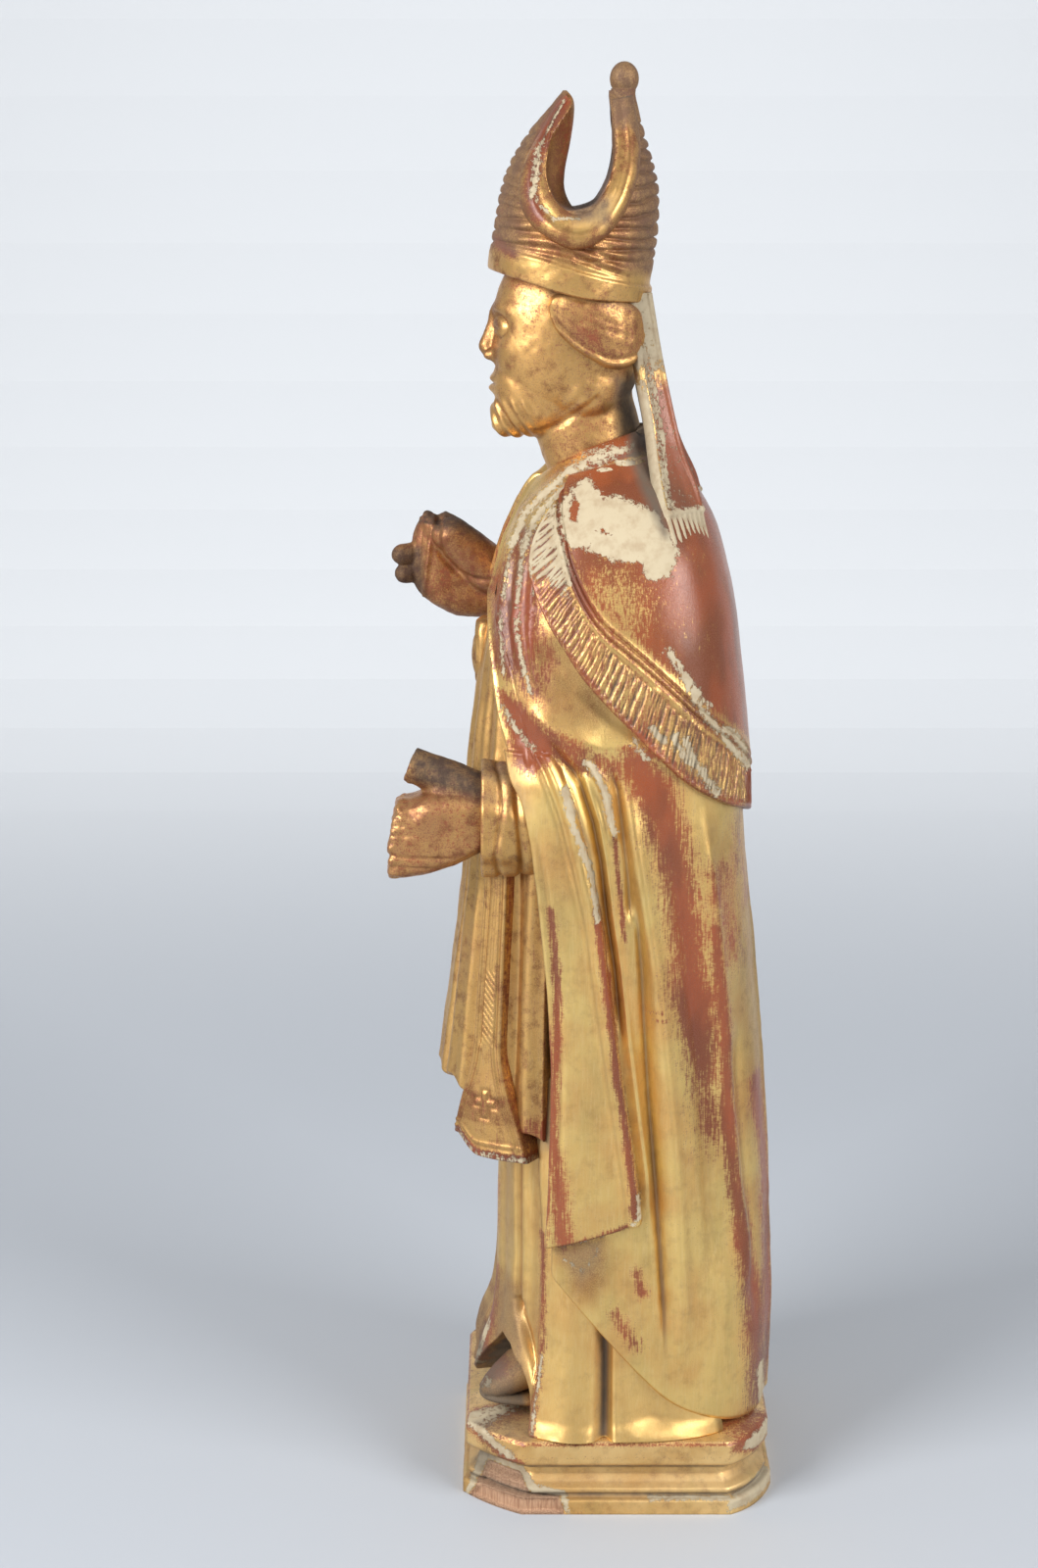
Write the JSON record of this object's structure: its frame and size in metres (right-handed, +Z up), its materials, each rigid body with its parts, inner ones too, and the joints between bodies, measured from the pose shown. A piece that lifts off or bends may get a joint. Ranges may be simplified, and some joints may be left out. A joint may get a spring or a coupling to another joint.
{
  "type": "carved wooden saint statue",
  "caption": "Standing carved bishop in mitre and hooded cope with fringe, both hands held forward, on a low moulded plinth with canted corners.",
  "frame": {"origin": "centre of the plinth's underside", "axes": "+Z up, the saint faces -Y and its left side is +X"},
  "size_m": [0.124, 0.138, 0.5],
  "materials": {
    "plinth_gilding": "worn water gilding over red bole and white gesso, bare wood at a chipped corner",
    "robe_gilding": "burnished water gilding rubbed through to red bole and white gesso",
    "hand_gilding": "browned gilding darkened with dust on its upper faces"
  },
  "bodies": {
    "root": {"plinth": "plinth_gilding", "figure": "robe_gilding", "left_hand": "hand_gilding", "right_hand": "hand_gilding"}
  },
  "joints": []
}
